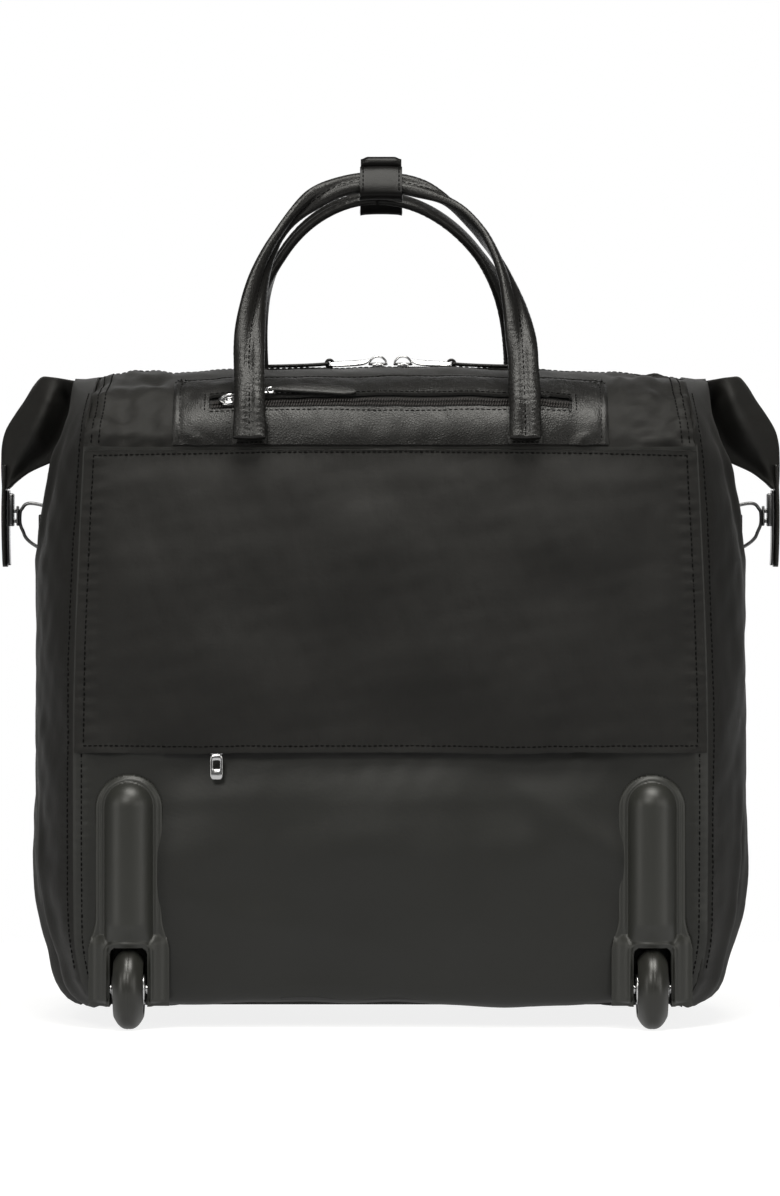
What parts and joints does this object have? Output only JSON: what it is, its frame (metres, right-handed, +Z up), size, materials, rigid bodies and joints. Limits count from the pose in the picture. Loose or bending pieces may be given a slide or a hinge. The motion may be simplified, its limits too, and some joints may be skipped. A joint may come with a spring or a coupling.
{
  "type": "rolling laptop case",
  "caption": "Soft tote-style laptop case on two rear wheels, with a stowed trolley, carry handles, folded side wings and zipped pockets.",
  "frame": {"origin": "on the floor, under the centre of the whole object's box", "axes": "+Z up, -Y to the rear, where the wheels and trolley are, +X to the right when looked at from the rear"},
  "size_m": [0.499, 0.242, 0.5459],
  "materials": {
    "nylon": "black satin-faced nylon twill",
    "coated_cloth": "black coated cloth with a soft satin face",
    "leather": "black fine-grained leather, satin",
    "padding": "dark grey padded lining",
    "board": "black polyethylene sheet",
    "housing_plastic": "dark grey moulded plastic, fine texture",
    "foot_rubber": "black rubber",
    "tyre": "black polyurethane",
    "hub_plastic": "black moulded hub",
    "steel": "plain steel",
    "silver_metal": "polished nickel plate",
    "dark_metal": "dark gunmetal plate",
    "tube_metal": "satin anodised aluminium",
    "grip_plastic": "black moulded grip",
    "button_plastic": "black push button",
    "zip": "black woven tape with a nylon coil"
  },
  "bodies": {
    "case": {"rear_panel": "coated_cloth", "front_panel": "coated_cloth", "right_gusset": "nylon", "left_gusset": "nylon", "bottom_panel": "coated_cloth", "base_board": "board", "back_board": "board", "laptop_divider": "padding", "rear_roof": "nylon", "front_roof": "nylon", "rear_top_leather": "leather", "rear_pocket": "nylon", "front_pocket": "nylon", "handle_patches": "leather", "right_wheel_housing": "housing_plastic", "left_wheel_housing": "housing_plastic", "wheel_axles": "silver_metal", "housing_screws": "steel", "front_feet": "foot_rubber", "trolley_outer_tubes": "tube_metal", "trolley_bottom_bracket": "grip_plastic", "trolley_top_collars": "grip_plastic", "trolley_zip_tapes": "zip", "main_zip": "zip", "rear_pocket_zip": "zip", "ring_keepers": "leather"},
    "right_wheel": {"right_tyre": "tyre", "right_hub": "hub_plastic", "right_bearings": "steel"},
    "left_wheel": {"left_tyre": "tyre", "left_hub": "hub_plastic", "left_bearings": "steel"},
    "trolley_mid": {"trolley_mid_tubes": "tube_metal"},
    "trolley_inner": {"trolley_inner_tubes": "tube_metal", "trolley_grip": "grip_plastic"},
    "trolley_button": {"trolley_button": "button_plastic", "trolley_release_rods": "steel"},
    "rear_handle": {"rear_handle": "leather", "rear_handle_wrap": "leather"},
    "front_handle": {"front_handle": "leather", "front_handle_wrap": "leather"},
    "right_wing": {"right_wing": "nylon", "right_wing_tab": "leather", "right_clip": "dark_metal"},
    "left_wing": {"left_wing": "nylon", "left_wing_tab": "leather", "left_clip": "dark_metal"},
    "right_ring": {"right_ring": "dark_metal"},
    "left_ring": {"left_ring": "dark_metal"},
    "right_main_slider": {"right_main_slider": "silver_metal"},
    "left_main_slider": {"left_main_slider": "silver_metal"},
    "right_main_pull": {"right_main_pull": "silver_metal", "right_main_tab": "leather"},
    "left_main_pull": {"left_main_pull": "silver_metal", "left_main_tab": "leather"},
    "trolley_zip_slider": {"trolley_zip_slider": "silver_metal"},
    "trolley_zip_pull": {"trolley_zip_pull": "silver_metal", "trolley_zip_tab": "leather"},
    "rear_pocket_slider": {"rear_pocket_slider": "silver_metal"},
    "rear_pocket_pull": {"rear_pocket_pull": "silver_metal"}
  },
  "joints": [
    {"name": "right_wheel_spin", "type": "hinge", "parent": "case", "child": "right_wheel", "pos_m": [0.162, -0.096, 0.025], "axis": [1, 0, 0], "continuous": true},
    {"name": "left_wheel_spin", "type": "hinge", "parent": "case", "child": "left_wheel", "pos_m": [-0.162, -0.096, 0.025], "axis": [1, 0, 0], "continuous": true},
    {"name": "trolley_mid_slide", "type": "slide", "parent": "case", "child": "trolley_mid", "axis": [0, 0, 1], "range_m": [0, 0.27]},
    {"name": "trolley_inner_slide", "type": "slide", "parent": "trolley_mid", "child": "trolley_inner", "axis": [0, 0, 1], "range_m": [0, 0.27]},
    {"name": "trolley_button_press", "type": "slide", "parent": "trolley_inner", "child": "trolley_button", "axis": [0, 0, -1], "range_m": [0, 0.0025], "stiffness_N_per_m": 500, "springref_m": -0.001},
    {"name": "rear_handle_swing", "type": "hinge", "parent": "case", "child": "rear_handle", "pos_m": [0, -0.103, 0.366], "axis": [1, 0, 0], "range_deg": [0, 110]},
    {"name": "front_handle_swing", "type": "hinge", "parent": "case", "child": "front_handle", "pos_m": [0, 0.117, 0.366], "axis": [-1, 0, 0], "range_deg": [0, 110]},
    {"name": "right_wing_fold", "type": "hinge", "parent": "case", "child": "right_wing", "pos_m": [0.22, 0.007, 0.402], "axis": [0, -1, 0], "range_deg": [0, 70]},
    {"name": "left_wing_fold", "type": "hinge", "parent": "case", "child": "left_wing", "pos_m": [-0.22, 0.007, 0.402], "axis": [0, 1, 0], "range_deg": [0, 70]},
    {"name": "right_ring_swivel", "type": "hinge", "parent": "case", "child": "right_ring", "pos_m": [0.2276, 0.007, 0.313], "axis": [0, 0, 1], "range_deg": [-75, 75]},
    {"name": "left_ring_swivel", "type": "hinge", "parent": "case", "child": "left_ring", "pos_m": [-0.2276, 0.007, 0.313], "axis": [0, 0, 1], "range_deg": [-75, 75]},
    {"name": "right_main_zip", "type": "slide", "parent": "case", "child": "right_main_slider", "axis": [1, 0, 0], "range_m": [0, 0.11]},
    {"name": "left_main_zip", "type": "slide", "parent": "case", "child": "left_main_slider", "axis": [-1, 0, 0], "range_m": [0, 0.11]},
    {"name": "right_main_pull_lift", "type": "hinge", "parent": "right_main_slider", "child": "right_main_pull", "pos_m": [0.008, 0.007, 0.4195], "axis": [0, -1, 0], "range_deg": [0, 150]},
    {"name": "left_main_pull_lift", "type": "hinge", "parent": "left_main_slider", "child": "left_main_pull", "pos_m": [-0.008, 0.007, 0.4195], "axis": [0, 1, 0], "range_deg": [0, 150]},
    {"name": "trolley_zip", "type": "slide", "parent": "case", "child": "trolley_zip_slider", "axis": [1, 0, 0], "range_m": [0, 0.202]},
    {"name": "trolley_zip_pull_lift", "type": "hinge", "parent": "trolley_zip_slider", "child": "trolley_zip_pull", "pos_m": [-0.101, -0.07955, 0.39161], "axis": [0, -0.7701, -0.6379], "range_deg": [0, 10]},
    {"name": "rear_pocket_zip_slide", "type": "slide", "parent": "case", "child": "rear_pocket_slider", "axis": [1, 0, 0], "range_m": [0, 0.205]},
    {"name": "rear_pocket_pull_lift", "type": "hinge", "parent": "rear_pocket_slider", "child": "rear_pocket_pull", "pos_m": [-0.108, -0.1002, 0.168], "axis": [-1, 0, 0], "range_deg": [0, 90]}
  ],
  "couplings": [
    {"joint": "trolley_inner_slide", "follows": "trolley_mid_slide", "ratio": 1}
  ]
}
